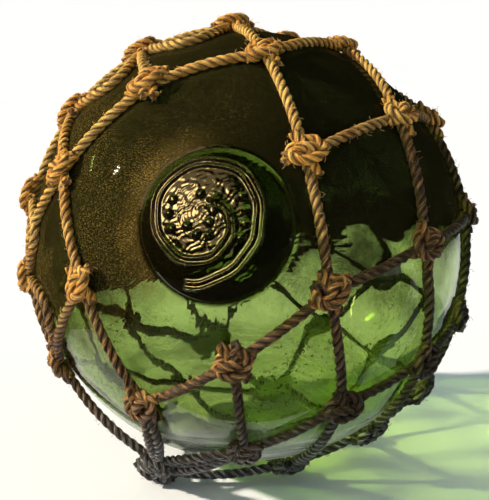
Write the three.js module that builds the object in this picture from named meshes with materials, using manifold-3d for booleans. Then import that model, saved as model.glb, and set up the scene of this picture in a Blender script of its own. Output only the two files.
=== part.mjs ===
// Glass float ball: a blown green glass ball with a sealed-on button, held in a knotted rope net.
// Millimetres, +Z up. The origin is on the floor under the ball's middle, and the seal faces -Y.
import * as THREE from 'three';
import { mergeVertices } from 'three/addons/utils/BufferGeometryUtils.js';
import Module from 'manifold-3d';

const wasm = await Module();
wasm.setup();

// Ball and seal button
const ballRadius = 150;
const ballSides = 32;
const ballRings = 14;
const sealTurn = -7;
const sealRise = 16.5;
const buttonRadius = 43;
const buttonHeight = 7;
const buttonRings = 5;
const stampTurn = -9;
const stampRise = 18;
const ridgeRadius = 1.9;
const ridgeSteps = 26;
const beadRadius = 2.4;

// The stamped spiral: its distance from the stamp's middle at turns counted anticlockwise
const spiralStations = [
  [-104, 40], [-33, 31.5], [53, 31], [166, 29.5], [258, 26.5], [353, 15.5], [436, 7.5],
];

// Rows of beads inside the spiral, each an arc about the stamp's middle
const beadRows = [
  { radius: 21.5, from: 28, to: -30, count: 4 },
  { radius: 19, from: 156, to: 203, count: 3 },
  { radius: 10.8, from: 215, to: 286, count: 3 },
  { radius: 11, from: 55, to: 104, count: 2 },
  { radius: 4.8, from: -56, to: 24, count: 2 },
];

// Rope net
const cordRadius = 3.1;
const clearance = 0.3;
const knotHalfLength = 9.8;
const knotDepth = 5.1;
const knotEnd = 4.1;
const knotBelly = 0.6;
// How far from a knot's middle a cord has its full thickness, and how far past the middle it runs out
const rowEntry = { full: 11.5, past: 7 };
const columnEntry = { full: 7, past: 3.5 };
const cordBends = [0.5];
const secondCordBends = [0.3, 0.5, 0.7];
const meshAngle = 28;
const ringsBehind = 3;
const crowdShare = 0.5;
const restingPress = 0.9;

// A cord's section is a square of the round twine's area, and this is its corner's distance from the middle
const cordCorner = cordRadius * Math.sqrt(Math.PI / 2);

// Distances from the ball's middle
const tautRadius = ballRadius + 2 * clearance + cordRadius;
const knotCentreRadius = ballRadius + clearance + knotDepth;
const centreHeight = ballRadius + clearance + 2 * cordRadius - restingPress;

// The net's front, knot by knot: turn to the right, rise, and lift off the glass where the net is slack.
// A gap in the lattice is a place where rows or columns of meshes end.
const lattice = [
  [[-82, 15, 0], [-82, 39, 0], [-87, 62, 1], [-95, 86, 0], [150, 68, 0], null],
  [[-77, -5, 0], [-54, 25, 0], [-36, 49, 0], [8, 61, 0], [87, 65, 0], [118, 49, 0]],
  [[-66, -26, 0], [-39, 1, 0], null, [14, 31, 0], [50, 39, 0], [83, 36, 1]],
  [null, [-27, -27, 0], [-3, -13, 0], [17, 2, 0], [43, 9, 0], [78, 11, 0]],
  [null, [-39, -54, 9], [-1, -43, 0], [24, -27, 0], [49, -20, 0], [73, -15, 0]],
  [null, null, [-47, -59, 15], [26, -66, 1], [55, -49, 0], [74, -37, 4]],
];

// The lattice's edge as [row, column], clockwise from its upper left corner
const rim = [
  [0, 0], [0, 1], [0, 2], [0, 3], [0, 4], [1, 4], [1, 5], [2, 5], [3, 5],
  [4, 5], [5, 5], [5, 4], [5, 3], [5, 2], [4, 2], [4, 1], [2, 0], [1, 0],
];
const diagonalCord = [[2, 0], [4, 1]];
const footKnot = { behind: [5, 3], turn: 0, rise: -90 };

// Where the net has two cords between the same knots, and how far the second lies aside, towards the seal
const secondCords = [
  { from: [0, 0], to: [1, 0], aside: 40 },
  { from: [0, 1], to: [0, 2], aside: 40 },
  { from: [0, 2], to: [0, 3], aside: 40 },
  { from: [1, 0], to: [2, 0], aside: 40 },
  { from: [3, 1], to: [4, 1], aside: 6.5 },
  { from: [4, 1], to: [4, 2], aside: 6.5 },
];

// Cut ends of twine left at some knots: the knot, the way it points and its length
const tails = [
  { knot: [1, 2], right: 0.5, up: -1, length: 11 },
  { knot: [2, 3], right: -1, up: -0.1, length: 12 },
  { knot: [3, 2], right: 0.2, up: 1, length: 13 },
  { knot: [2, 0], right: 0.2, up: -1, length: 14 },
  { knot: [1, 0], right: -1, up: -0.3, length: 11 },
  { knot: [0, 3], right: -0.6, up: 0.8, length: 10 },
  { knot: [3, 3], right: -0.9, up: 0.5, length: 10 },
  { knot: [4, 3], right: -0.4, up: -1, length: 9 },
];
const tailRadius = 2.6;

function direction(turn, rise) {
  const a = THREE.MathUtils.degToRad(turn);
  const b = THREE.MathUtils.degToRad(rise);
  return new THREE.Vector3(Math.sin(a) * Math.cos(b), -Math.cos(a) * Math.cos(b), Math.sin(b));
}

// Solids: closed geometry to a manifold and back

function toSolid(geometry) {
  const bare = geometry.clone();
  bare.deleteAttribute('normal');
  bare.deleteAttribute('uv');
  const merged = mergeVertices(bare, 1e-4);
  return new wasm.Manifold(new wasm.Mesh({
    numProp: 3,
    vertProperties: new Float32Array(merged.attributes.position.array),
    triVerts: new Uint32Array(merged.index.array),
  }));
}

function toGeometry(solid) {
  const mesh = solid.getMesh();
  const geometry = new THREE.BufferGeometry();
  geometry.setAttribute('position', new THREE.BufferAttribute(mesh.vertProperties, 3));
  geometry.setIndex(new THREE.BufferAttribute(mesh.triVerts, 1));
  geometry.computeVertexNormals();
  return geometry;
}

function fuse(geometries) {
  return geometries.map(toSolid).reduce((whole, next) => whole.add(next));
}

function polygon(sides, radius) {
  const corners = [];
  for (let i = 0; i < sides; i += 1) {
    const a = (2 * Math.PI * i) / sides;
    corners.push(new THREE.Vector2(radius * Math.cos(a), radius * Math.sin(a)));
  }
  return new THREE.Shape(corners);
}

// Turns a shape made about its own Y axis so that Y points along one way and Z as near as can be to another
function stand(geometry, along, outward, at) {
  const y = along.clone().normalize();
  const x = new THREE.Vector3().crossVectors(y, outward).normalize();
  const z = new THREE.Vector3().crossVectors(x, y);
  const matrix = new THREE.Matrix4().makeBasis(x, y, z).setPosition(at);
  return geometry.applyMatrix4(matrix);
}

// Ball: a sphere with the seal's button melted onto it, both round about the seal's axis

const sealAxis = direction(sealTurn, sealRise);
const buttonAngle = Math.asin(buttonRadius / ballRadius);

// Height of the glass over the plain sphere at an angle from the seal's axis
function buttonRise(angle) {
  const share = Math.min(angle / buttonAngle, 1);
  return buttonHeight * Math.sqrt(1 - share ** 4);
}

function ballProfile() {
  const points = [];
  for (let i = 0; i < ballRings; i += 1) {
    const angle = Math.PI - (Math.PI - buttonAngle) * (i / ballRings);
    points.push([ballRadius, angle]);
  }
  for (let i = 0; i <= buttonRings; i += 1) {
    const angle = buttonAngle * Math.cos((Math.PI / 2) * (i / buttonRings));
    points.push([ballRadius + buttonRise(angle), angle]);
  }
  return points.map(([r, angle], i) => {
    const onAxis = i === 0 || i === points.length - 1;
    return new THREE.Vector2(onAxis ? 0 : r * Math.sin(angle), r * Math.cos(angle));
  });
}

function ballBody() {
  const body = new THREE.LatheGeometry(ballProfile(), ballSides);
  return stand(body, sealAxis, new THREE.Vector3(0, 0, 1), new THREE.Vector3());
}

// A point on the stamped face, in polar terms about the stamp's middle
function stampPoint(turn, distance) {
  const axis = direction(stampTurn, stampRise);
  const right = new THREE.Vector3().crossVectors(new THREE.Vector3(0, 0, 1), axis).normalize();
  const up = new THREE.Vector3().crossVectors(axis, right);
  const a = THREE.MathUtils.degToRad(turn);
  const reach = distance / ballRadius;
  const way = axis.multiplyScalar(Math.cos(reach))
    .addScaledVector(right, Math.sin(reach) * Math.cos(a))
    .addScaledVector(up, Math.sin(reach) * Math.sin(a));
  return way.multiplyScalar(ballRadius + buttonRise(way.angleTo(sealAxis)));
}

function spiralRidge() {
  const stations = spiralStations.map(([turn, distance]) => new THREE.Vector2(turn, distance));
  const smooth = new THREE.SplineCurve(stations);
  const points = smooth.getPoints(ridgeSteps).map((p) => stampPoint(p.x, p.y));
  const path = new THREE.CatmullRomCurve3(points);
  return new THREE.ExtrudeGeometry(polygon(4, ridgeRadius), { extrudePath: path, steps: ridgeSteps });
}

function beads() {
  const made = [];
  for (const row of beadRows) {
    for (let i = 0; i < row.count; i += 1) {
      const turn = row.from + ((row.to - row.from) * i) / (row.count - 1);
      const centre = stampPoint(turn, row.radius);
      made.push(new THREE.IcosahedronGeometry(beadRadius, 0).translate(centre.x, centre.y, centre.z));
    }
  }
  return made;
}

// Net: the knots of the front lattice, then rings of knots that close it behind

function netGraph() {
  const knots = [];
  const cords = [];
  const at = lattice.map((row) => row.map(() => -1));
  const addKnot = (place, lift, pinned) => {
    knots.push({ place, lift, pinned, beside: [] });
    return knots.length - 1;
  };
  const join = (a, b) => cords.push([a, b]);
  const joinRow = (a, b) => {
    join(a, b);
    knots[a].beside.push(b);
    knots[b].beside.push(a);
  };

  lattice.forEach((row, r) => row.forEach((cell, c) => {
    if (cell === null) return;
    const [turn, rise, lift] = cell;
    at[r][c] = addKnot(direction(turn, rise), lift, true);
    if (c > 0 && at[r][c - 1] >= 0) joinRow(at[r][c - 1], at[r][c]);
    if (r > 0 && at[r - 1][c] >= 0) join(at[r - 1][c], at[r][c]);
  }));
  join(...diagonalCord.map(([r, c]) => at[r][c]));

  const valence = (knot) => cords.filter((cord) => cord.includes(knot)).length;
  let ring = rim.map(([r, c]) => at[r][c]);
  const foot = at[footKnot.behind[0]][footKnot.behind[1]];
  for (let level = 0; level < ringsBehind; level += 1) {
    // A knot that has its four cords already ends a column, so its neighbours share the knot behind it
    const open = ring.map((knot) => valence(knot) < 4);
    const behind = [];
    ring.forEach((knot, i) => {
      if (!open[i]) return;
      const shares = i > 0 && !open[i - 1];
      if (!shares) {
        const place = knots[knot].place.clone().addScaledVector(sealAxis, -0.5).normalize();
        const made = addKnot(place, 0, false);
        if (knot === foot) {
          Object.assign(knots[made], { place: direction(footKnot.turn, footKnot.rise), pinned: true });
        }
        behind.push(made);
      }
      join(knot, behind[behind.length - 1]);
    });
    behind.forEach((knot, i) => joinRow(knot, behind[(i + 1) % behind.length]));
    ring = behind;
  }
  return { knots, cords, at };
}

// Lets the knots behind slide over the ball until the cords are near one length and no two knots crowd
function relax({ knots, cords }) {
  const reach = 2 * Math.sin(THREE.MathUtils.degToRad(meshAngle / 2));
  const rounds = 600;
  const give = 0.15;
  for (let round = 0; round < rounds; round += 1) {
    const push = knots.map(() => new THREE.Vector3());
    const spring = (a, b, share) => {
      const way = knots[b].place.clone().sub(knots[a].place);
      if (share < 1 && way.length() > reach) return;
      way.multiplyScalar(share * give * (1 - reach / way.length()));
      push[a].add(way);
      push[b].sub(way);
    };
    for (const [a, b] of cords) spring(a, b, 1);
    for (let a = 0; a < knots.length; a += 1) {
      for (let b = a + 1; b < knots.length; b += 1) spring(a, b, crowdShare);
    }
    knots.forEach((knot, i) => {
      if (!knot.pinned) knot.place.add(push[i]).normalize();
    });
  }
}

// The height of a cord's middle line over the ball's middle, a share t of the way between two knots
function cordHeight(from, to, t) {
  const nearKnot = Math.min((2 * t - 1) ** 4, 1);
  const lift = THREE.MathUtils.lerp(from.lift, to.lift, t);
  return THREE.MathUtils.lerp(tautRadius, knotCentreRadius, nearKnot) + lift;
}

// A cord is a thin spindle that is bent round the ball, with its two tips hidden in the knots
function cord([a, b], knots, aside = 0, bends = cordBends) {
  const [from, to] = [knots[a], knots[b]];
  const angle = from.place.angleTo(to.place);
  const length = angle * tautRadius;
  const entry = from.beside.includes(b) ? rowEntry : columnEntry;
  const profile = [
    new THREE.Vector2(0, -entry.past / length),
    new THREE.Vector2(cordCorner, entry.full / length),
    ...bends.map((t) => new THREE.Vector2(cordCorner, t)),
    new THREE.Vector2(cordCorner, 1 - entry.full / length),
    new THREE.Vector2(0, 1 + entry.past / length),
  ];
  const spindle = new THREE.LatheGeometry(profile, 4, Math.PI / 4);
  const side = new THREE.Vector3().crossVectors(to.place, from.place).normalize();
  const ahead = new THREE.Vector3().crossVectors(from.place, side).normalize();
  const bow = aside * Math.sign(side.dot(sealAxis));
  const points = spindle.attributes.position;
  const point = new THREE.Vector3();
  for (let i = 0; i < points.count; i += 1) {
    const t = points.getY(i);
    const height = cordHeight(from, to, t) + points.getZ(i);
    point.copy(from.place).multiplyScalar(Math.cos(t * angle) * height);
    point.addScaledVector(ahead, Math.sin(t * angle) * height);
    point.addScaledVector(side, bow * Math.sin(Math.PI * t)).setLength(height);
    point.addScaledVector(side, points.getX(i));
    points.setXYZ(i, point.x, point.y, point.z);
  }
  return spindle;
}

function secondCord({ from, to, aside }, { knots, at }) {
  const ends = [from, to].map(([r, c]) => at[r][c]);
  return cord(ends, knots, aside, secondCordBends);
}

// A knot is a four-sided barrel lying along its row, with a cord leaving it by each end and each side
function knotBarrel(knot, knots) {
  const half = [[0, 1], [knotEnd, 1], [knotDepth, knotBelly]];
  const stations = [
    ...half.map(([depth, share]) => [depth, -share]),
    ...half.reverse(),
  ];
  const cornerShare = Math.SQRT2;
  const profile = stations.map(([depth, share]) => (
    new THREE.Vector2(depth * cornerShare, share * knotHalfLength)
  ));
  const [first, second = null] = knot.beside;
  const other = second === null ? knot.place : knots[second].place;
  const along = knots[first].place.clone().sub(other).projectOnPlane(knot.place);
  const centre = knot.place.clone().multiplyScalar(knotCentreRadius + knot.lift);
  return stand(new THREE.LatheGeometry(profile, 4, Math.PI / 4), along, knot.place, centre);
}

function tail({ knot: [r, c], right, up, length }, { knots, at }) {
  const knot = knots[at[r][c]];
  const east = new THREE.Vector3(0, 0, 1).cross(knot.place).normalize();
  const north = new THREE.Vector3().crossVectors(knot.place, east);
  const way = east.multiplyScalar(right).addScaledVector(north, up).normalize();
  const cone = new THREE.ConeGeometry(tailRadius, length, 4).translate(0, length / 2 + knotEnd, 0);
  const foot = knot.place.clone().multiplyScalar(knotCentreRadius + knot.lift);
  return stand(cone, way, knot.place, foot);
}

function netSolid() {
  const graph = netGraph();
  relax(graph);
  const pieces = [
    ...graph.cords.map((ends) => cord(ends, graph.knots)),
    ...secondCords.map((item) => secondCord(item, graph)),
    ...graph.knots.map((knot) => knotBarrel(knot, graph.knots)),
    ...tails.map((item) => tail(item, graph)),
  ];
  const floorSize = 3 * ballRadius;
  const floor = new THREE.BoxGeometry(floorSize, floorSize, floorSize);
  floor.translate(0, 0, -centreHeight - floorSize / 2);
  return fuse(pieces).subtract(toSolid(floor));
}

function ballSolid() {
  return fuse([ballBody(), spiralRidge(), ...beads()]);
}

function part(name, solid, colour, roughness) {
  const material = new THREE.MeshStandardMaterial({ color: colour, roughness, metalness: 0 });
  const mesh = new THREE.Mesh(toGeometry(solid), material);
  mesh.name = name;
  mesh.position.z = centreHeight;
  return mesh;
}

const group = new THREE.Group();
group.add(part('glass_ball', ballSolid(), 0x4f6a2a, 0.08));
group.add(part('rope_net', netSolid(), 0x8a6534, 0.9));

export default group;
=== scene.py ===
import math

import bpy
import numpy as np
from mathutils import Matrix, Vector


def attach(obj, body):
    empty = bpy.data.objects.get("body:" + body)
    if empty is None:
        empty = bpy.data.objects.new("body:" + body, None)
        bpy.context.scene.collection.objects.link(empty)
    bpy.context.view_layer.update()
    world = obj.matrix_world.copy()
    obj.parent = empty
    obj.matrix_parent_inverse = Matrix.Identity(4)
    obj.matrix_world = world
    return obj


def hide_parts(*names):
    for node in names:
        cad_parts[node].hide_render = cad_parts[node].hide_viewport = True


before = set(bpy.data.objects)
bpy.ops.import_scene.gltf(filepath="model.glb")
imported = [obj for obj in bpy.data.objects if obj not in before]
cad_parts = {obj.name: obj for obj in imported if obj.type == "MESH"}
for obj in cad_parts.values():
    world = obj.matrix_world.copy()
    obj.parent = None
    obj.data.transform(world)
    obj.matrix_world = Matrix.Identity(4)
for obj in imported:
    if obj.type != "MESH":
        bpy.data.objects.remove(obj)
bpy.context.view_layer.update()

# Sizes, in metres, and how many millimetres go into one
BALL_RADIUS = 0.150
WALL = 0.006
CLEARANCE = 0.0003
CORD_RADIUS = 0.0031
CORD_LIFT = 0.0023
KNOT_DEPTH = 0.0051
RESTING_PRESS = 0.0009
PRESSED_RADIUS = BALL_RADIUS + CORD_LIFT
KNOT_RADIUS = BALL_RADIUS + CLEARANCE + KNOT_DEPTH
LOWEST_MIDDLE = CORD_RADIUS * 0.8
CENTRE = np.array([0.0, 0.0, BALL_RADIUS + CLEARANCE + 2 * CORD_RADIUS - RESTING_PRESS])
MILLIMETRES = 1000

# Glass skins: steps around, rings over the button and rings over the rest, and the waves of blown glass
OUTER_STEPS = (360, 135, 72)
INNER_STEPS = (96, 12, 50)
NEAR_SHARE = 1.06
WAVE_HEIGHT = 0.00018
WAVES = ((21.0, 9.0, 13.0), (-8.0, 17.0, 11.0))
OUTER_WAVE, INNER_WAVE = 0.5, 3

# Seal: turns and rises are degrees on the ball, lengths are metres
SEAL_TURN, SEAL_RISE = -7.0, 16.5
STAMP_TURN, STAMP_RISE = -9.0, 18.0
BUTTON_RADIUS = 0.043
BUTTON_HEIGHT = 0.007
BUTTON_POWER = 4
RIDGE_HEIGHT = 0.0025
RIDGE_WIDTH = 0.0009
RIDGE_GAP = 0.0038
INNER_RIDGE_SHARE = 0.75
BEAD_RADIUS = 0.0026
BEAD_SHARE = 0.9

# The ridge's swirl, as turns in degrees and distances about the stamp's middle, and how it wavers
SPIRAL_STATIONS = [
    (-104, 0.0400), (-33, 0.0315), (53, 0.0310), (166, 0.0295),
    (258, 0.0265), (353, 0.0155), (436, 0.0075),
]
SPIRAL_STEPS = 40
SPIRAL_WAVER = 0.0006
SPIRAL_WAVES = (61, 23)
BEAD_ROWS = [
    {"radius": 0.0215, "start": 28, "end": -30, "count": 4},
    {"radius": 0.0190, "start": 156, "end": 203, "count": 3},
    {"radius": 0.0108, "start": 215, "end": 286, "count": 3},
    {"radius": 0.0110, "start": 55, "end": 104, "count": 2},
    {"radius": 0.0048, "start": -56, "end": 24, "count": 2},
]

# Ripples round the stamp's middle, and dimples between its beads
RIPPLE_STEP = 0.0022
RIPPLE_HEIGHT = 0.00005
RIPPLE_REACH = 0.018
RIPPLE_FADE = 0.004
RIPPLE_ARMS = 2
WANDER = 1.2
WANDER_ARMS = 3
WANDER_STEP = 0.003
DIMPLE_HEIGHT = 0.00020
DIMPLE_REACH = 0.027
DIMPLE_FADE = 0.006
DIMPLE_LEAST = 0.25
DIMPLE_BEND = 1.5
DIMPLE_WAVES = (
    ((127.0, 61.0, -93.0), (81.0, 22.0, 68.0)),
    ((-67.0, 95.0, 134.0), (59.0, -31.0, -77.0)),
)

# Net: the front knots' turn and rise in degrees and their lift off the glass in millimetres
LATTICE = [
    [(-82, 15, 0), (-82, 39, 0), (-87, 62, 0), (-95, 86, 0), (150, 68, 0), None],
    [(-77, -5, 0), (-54, 25, 0), (-36, 49, 0), (8, 61, 0), (87, 65, 0), (118, 49, 0)],
    [(-66, -26, 0), (-39, 1, 0), None, (14, 31, 0), (50, 39, 0), (83, 36, 0)],
    [None, (-27, -27, 0), (-3, -13, 0), (17, 2, 0), (43, 9, 0), (78, 11, 0)],
    [None, (-39, -54, 9), (-1, -43, 0), (24, -27, 0), (49, -20, 0), (73, -15, 0)],
    [None, None, (-47, -59, 15), (26, -66, 1), (55, -49, 0), (74, -37, 4)],
]
RIM = [
    (0, 0), (0, 1), (0, 2), (0, 3), (0, 4), (1, 4), (1, 5), (2, 5), (3, 5),
    (4, 5), (5, 5), (5, 4), (5, 3), (5, 2), (4, 2), (4, 1), (2, 0), (1, 0),
]
DIAGONAL_CORD = ((2, 0), (4, 1))
SECOND_CORDS = [
    {"from": (0, 0), "to": (1, 0), "aside": 0.0400},
    {"from": (0, 1), "to": (0, 2), "aside": 0.0400},
    {"from": (0, 2), "to": (0, 3), "aside": 0.0400},
    {"from": (1, 0), "to": (2, 0), "aside": 0.0400},
    {"from": (3, 1), "to": (4, 1), "aside": 0.0065},
    {"from": (4, 1), "to": (4, 2), "aside": 0.0065},
]
FOOT_KNOT_PARENT = (5, 3)
FOOT_RISE = -90
CORDS_AT_KNOT = 4
RINGS_BEHIND = 3
STEP_BEHIND = 0.5
MESH_ANGLE = 28.0
RELAX_ROUNDS = 600
RELAX_GIVE = 0.15
CROWD_SHARE = 0.5

# Cords run in samples from knot to knot, high where they enter a knot, and rows of knots lie one way
CORD_SAMPLES = 15
ENTRY_SHARE = 0.45
ENTRY_POWER = 6
ROW_WAY = np.array([1.0, 0.0, 0.2])

# Cut ends: their way on the glass and length, their root in the knot, and the stations along them
TAILS = [
    {"knot": (1, 2), "right": 0.5, "up": -1.0, "length": 0.011},
    {"knot": (2, 3), "right": -1.0, "up": -0.1, "length": 0.012},
    {"knot": (3, 2), "right": 0.2, "up": 1.0, "length": 0.013},
    {"knot": (2, 0), "right": 0.2, "up": -1.0, "length": 0.014},
    {"knot": (1, 0), "right": -1.0, "up": -0.3, "length": 0.011},
    {"knot": (0, 3), "right": -0.6, "up": 0.8, "length": 0.010},
    {"knot": (3, 3), "right": -0.9, "up": 0.5, "length": 0.010},
    {"knot": (4, 3), "right": -0.4, "up": -1.0, "length": 0.009},
]
TAIL_ROOT = KNOT_DEPTH * 0.8
TAIL_BEND = 0.15
TAIL_STATIONS = (0.1, 0.4, 0.7, 0.85)

# A knot's three turns of twine: along the row, across it, and out from the glass, in millimetres
BIGHT = [
    (-2.5, 8.0, 2.6), (-7.0, 6.0, 4.4), (-9.4, 1.2, 6.2), (-7.6, -3.8, 7.4), (-2.2, -5.6, 8.2),
    (3.4, -5.0, 8.4), (8.2, -1.8, 7.2), (9.2, 2.6, 5.6), (5.6, 6.0, 3.8), (0.5, 6.6, 2.8),
]
CROSSING = [
    (14.0, 1.0, 3.4), (9.8, 2.8, 4.6), (5.2, 3.6, 7.2), (0.4, 2.4, 8.4), (-3.6, -0.6, 7.4),
    (-7.0, -2.6, 4.8), (-10.5, -1.6, 3.6), (-14.0, 0.0, 3.3),
]
UPRIGHT = [
    (0.0, 14.0, 3.2), (-0.6, 9.0, 3.8), (-1.2, 4.6, 5.6), (-0.4, 0.4, 6.0), (0.6, -4.0, 4.4),
    (0.4, -9.0, 3.3), (0.0, -14.0, 3.2),
]
KNOT_SIZES = (0.94, 1.06)
TURN_JITTER = 0.35
KNOT_SEED = 7

# Laid twine
STRANDS = 3
STRAND_RADIUS = 0.00168
STRAND_SIDES = 7
LAY_RADIUS = 0.00164
LAY_LENGTH = 0.0185
TWINE_STEP = 0.0019
CURVE_STEPS = 8

# Loose fibres: how many to a square metre, their form as shares of their length, and how they are turned
FIBRE_DENSITY = 42000.0
FIBRE_LENGTH = 0.0038
FIBRE_THICKNESS = 0.00013
FIBRE_START, FIBRE_START_HANDLE = (0, 0, 0), (0.1, 0, 0.25)
FIBRE_END_HANDLE, FIBRE_END = (0.5, 0, 0.4), (0.95, 0.1, 0.3)
FIBRE_STEPS = 2
FIBRE_SIDES = 3
FIBRE_ROOT = 1.05
FIBRE_LEAST_TURN, FIBRE_MOST_TURN = (-0.9, -0.9, -3.1), (0.9, 0.9, 3.1)
FIBRE_SIZES = (0.35, 1.0)
FIBRE_SEED = 3

# Camera: the ball's outline in the 489 x 500 photo, in pixels
PHOTO_WIDTH, PHOTO_HEIGHT = 489, 500
BALL_PIXEL = (248, 246)
FOCAL_PIXELS = 832
CAMERA_DISTANCE = 0.600
CAMERA_TURN, CAMERA_RISE = 0.0, 12.0

# Rope finish. Colours are linear, a grain is a noise's detail and roughness, and other pairs of numbers
# are where a mask goes from none to full
PATCH_SCALE, PATCH_DETAIL = 30.0, 4.0
# Painted light: the rope is painted paler and golden up on the left and front where the sun falls, painted
# grey shade towards the right and back, and painted bluish shade low down
PAINTED_SUN_RIGHT, PAINTED_SUN_BACK, PAINTED_SUN_PATCH = 0.48, 0.15, 0.10
PAINTED_SHADE_RIGHT = 0.25
LOW_SHADE_PATCH = 0.04
PAINTED_SUN = (0.15, 0.28)
OUT_OF_SHADE = (0.05, 0.21)
LOW_SHADE = (0.085, 0.020)
# The shift moves the painted sunlight, so the knots are painted lighter than the cords
CORD_FINISH = {"shift": -0.015, "straw": (0.36, 0.56)}
KNOT_FINISH = {"shift": 0.035, "straw": (0.52, 0.72)}
# The grey is painted shade, the golds are painted sunlight, and the bluish grey low down is painted shade
ROPE_SHADE_GREY = (0.016, 0.011, 0.007)
ROPE_BROWNS = ((0.052, 0.018, 0.005), (0.110, 0.042, 0.010))
ROPE_GOLDS = ((0.860, 0.360, 0.016), (0.740, 0.450, 0.070))
ROPE_LOW_SHADE = (0.050, 0.056, 0.068)
LOW_SHADE_COVER = 0.9
# Colours of the light fibres, with the same painted shade and sunlight in them
CREST_SHADE_GREY = (0.090, 0.070, 0.050)
CREST_BROWN = (0.580, 0.270, 0.058)
CREST_LOW_SHADE = (0.460, 0.475, 0.500)
CREST_STRAW = (0.980, 0.690, 0.185)
SHADE_COLOURS = ((0.012, 0.007, 0.003), (0.120, 0.050, 0.010))
# Colours of the painted shade in the grooves
GROOVE_SHADE_COLOURS = ((0.008, 0.004, 0.002), (0.100, 0.045, 0.008))
LIGHT_STREAKS = (0.50, 0.57)
DARK_STREAKS = (0.49, 0.40)
# Painted highlight on the strands' outer crests
CREST_HIGHLIGHT = (0.86, 1.0)
OFF_CREST_HIGHLIGHT = 0.35
# Painted shade in the grooves between the strands
GROOVE_SHADE = (0.985, 0.76)
STREAK_COVER = 0.85
GROOVE_SHADE_COVER = 0.90
STREAKS_AROUND = 9.0
STREAKS_ALONG = 130.0
STREAKS_DEEP = 2.0
STREAK_SCALE = 1.1
STREAK_GRAIN = (4.0, 0.75)
FINE_SCALE = 1500.0
FINE_GRAIN = (2.0, 0.6)
FINE_SHARE = 0.25
ROPE_RELIEF = 0.0016
ROPE_ROUGHNESS = 0.50
ROPE_GLOSS = 0.45
# The loose fibres carry the same painted sunlight and shade as the rope
FIBRE_SHADE_GREY = (0.050, 0.040, 0.030)
FIBRE_BROWNS = ((0.200, 0.100, 0.035), (0.380, 0.230, 0.100))
FIBRE_STRAW = (0.900, 0.600, 0.200)
FIBRE_LOW_SHADE = (0.160, 0.165, 0.180)
FIBRE_LOW_SHADE_COVER = 0.8
FIBRE_ROUGHNESS = 0.6

# Glass finish: the clear glass and its wall, with masks of the outer skin and the seal
GLASS_CLEAR = (0.90, 0.94, 0.74)
GLASS_ROUGHNESS = 0.02
GLASS_BEND = 1.48
GLASS_SHADOW = (0.88, 0.91, 0.77, 1.0)
WALL_COLOUR = (0.46, 0.64, 0.06, 1.0)
WALL_DENSITY = 125.0
# The seal's button is darker for its thick glass, and it is also painted with shade, nearly black on the left
SEAL_GLASS_AND_SHADE_COLOURS = ((0.020, 0.022, 0.004), (0.190, 0.250, 0.055))
SEAL_SIDES = (-0.020, 0.020)
SEAL_CLOUD = 0.05
OUTER_SKIN = (BALL_RADIUS - WALL * 0.6, BALL_RADIUS - WALL * 0.4)
SEAL_EDGE = (BUTTON_RADIUS * 1.09, BUTTON_RADIUS * 1.03)
CLOUD_SCALE = 16.0
CLOUD_GRAIN = (5.0, 0.6)

# Dust and painted light: the upper film, part painted shade; its grit, painted sunlit; specks; a painted
# reflection low down
# The film is dust and painted shade: a near-black sheet over the upper glass
FILM_DUST_AND_SHADE_COLOURS = ((0.007, 0.0065, 0.0020), (0.015, 0.0135, 0.0040))
FILM_ROUGHNESS = 0.7
FILM_RIGHT, FILM_CLOUD, FILM_GRIT = 0.15, 0.20, 0.06
FILM_EDGE = (0.115, 0.205)
FILM_CLOUDS = (0.30, 0.70)
FILM_THIN, FILM_MORE = 0.78, 0.18
FILM_ON_SEAL = 0.9
GRIT_SIZE = (800.0, 800.0, 2200.0)
GRIT_SLANT = (0.0, 0.75, 0.0)
GRIT_GRAIN = (4.0, 0.75)
GRIT_SPOTS = (0.50, 0.66)
GRIT_CLOUDS = (0.42, 0.60)
GRIT_THIN = 0.35
# Grit painted golden on the sunny left: painted sunlight
SUNLIT_GRIT_COVER = 0.42
SUNLIT_GRIT_COLOUR = (0.340, 0.240, 0.055)
SUNNY_BACK, SUNNY_CLOUD = 0.3, 0.10
SUNNY = (0.03, -0.13)
# A golden halo on the left of the seal: a painted sheen
SHEEN_HALO = (BUTTON_RADIUS * 1.5, BUTTON_RADIUS * 1.1)
SHEEN_HALO_SIDE = (-0.005, -0.045)
SHEEN_HALO_DUST, SHEEN_HALO_GRIT = 0.10, 0.90
SHEEN_HALO_COLOUR = (0.340, 0.220, 0.050)
SPECK_SCALE = 560.0
SPECK_GRAIN = (2.0, 0.6)
SPECKS = (0.60, 0.66)
SPECK_CLOUDS = (0.50, 0.58)
SPECK_COVER = 0.8
# A pale streaky layer low down on the outside: a painted reflection of the pale floor
GLARE_COLOUR = (0.55, 0.57, 0.56, 1.0)
GLARE_ROUGHNESS = 0.6
GLARE_GLOSS = 0.1
GLARE_SIZE = (12.0, 12.0, 110.0)
GLARE_SLANT = (0.0, -0.35, 0.0)
GLARE_GRAIN = (4.0, 0.6)
GLARE_STREAKS = (0.40, 0.66)
GLARE_HEIGHT = (0.075, 0.045)
GLARE_THIN, GLARE_MORE = 0.28, 0.40

# Chill marks that the mould left in the glass below the seal
CHILL_SIZE = (22.0, 22.0, 420.0)
CHILL_SLANT = (0.0, 0.25, 0.0)
CHILL_GRAIN = (2.0, 0.5)
CHILL_SCALE, CHILL_DETAIL = 24.0, 2.0
CHILL_PATCHES = (0.50, 0.66)
CHILL_HEIGHT = (0.17, 0.13)
CHILL_DEPTH = 0.00001

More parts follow.
